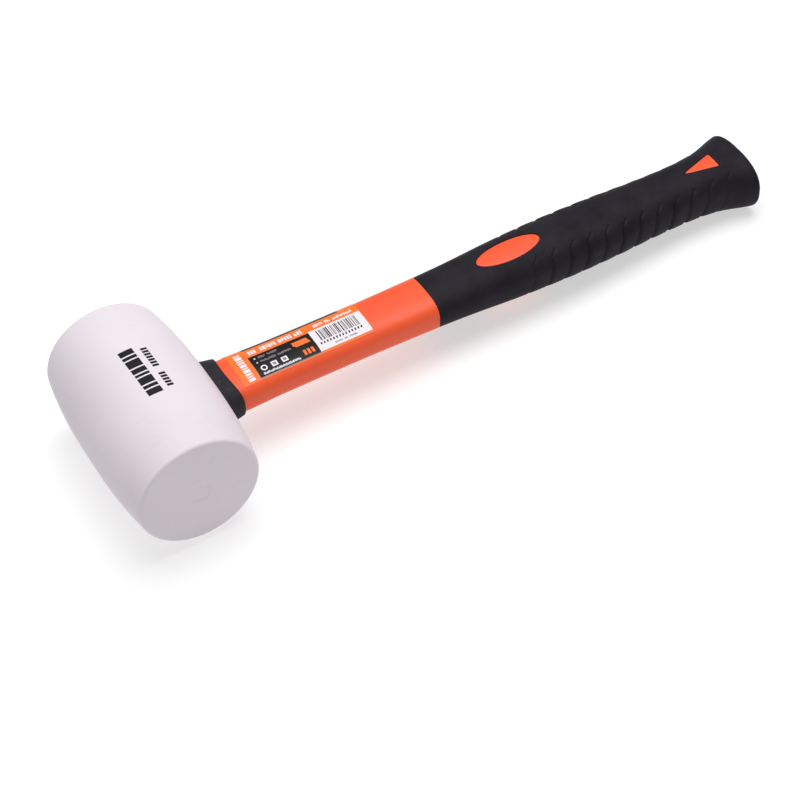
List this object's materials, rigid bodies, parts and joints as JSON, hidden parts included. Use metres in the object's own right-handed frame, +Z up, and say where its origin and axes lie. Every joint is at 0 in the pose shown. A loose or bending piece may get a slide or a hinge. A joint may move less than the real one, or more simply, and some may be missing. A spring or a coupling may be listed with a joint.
{
  "type": "rubber mallet",
  "caption": "Rubber mallet with a barrel-shaped white head on a fibre-cored plastic handle with a soft ribbed grip, lying on its side.",
  "frame": {"origin": "on the surface that the mallet lies on, under the centre of its bounding box", "axes": "+X from the head towards the butt of the handle, +Y along the head's axis from the front striking face to the rear one, +Z up, out of the labelled side of the handle"},
  "size_m": [0.353, 0.099, 0.065],
  "materials": {
    "white_rubber": "matt moulded rubber, slightly chalky",
    "fibreglass": "sawn glass-fibre rod",
    "orange_plastic": "satin moulded plastic",
    "black_soft_plastic": "finely textured soft plastic",
    "black_rubber": "matt moulded rubber",
    "adhesive": "set epoxy",
    "label_film": "printed film, satin"
  },
  "bodies": {
    "root": {"mallet_head": "white_rubber", "fibreglass_core": "fibreglass", "handle_jacket": "orange_plastic", "grip_sleeve": "black_soft_plastic", "neck_collar": "black_rubber", "eye_adhesive": "adhesive", "handle_label": "label_film"}
  },
  "joints": []
}
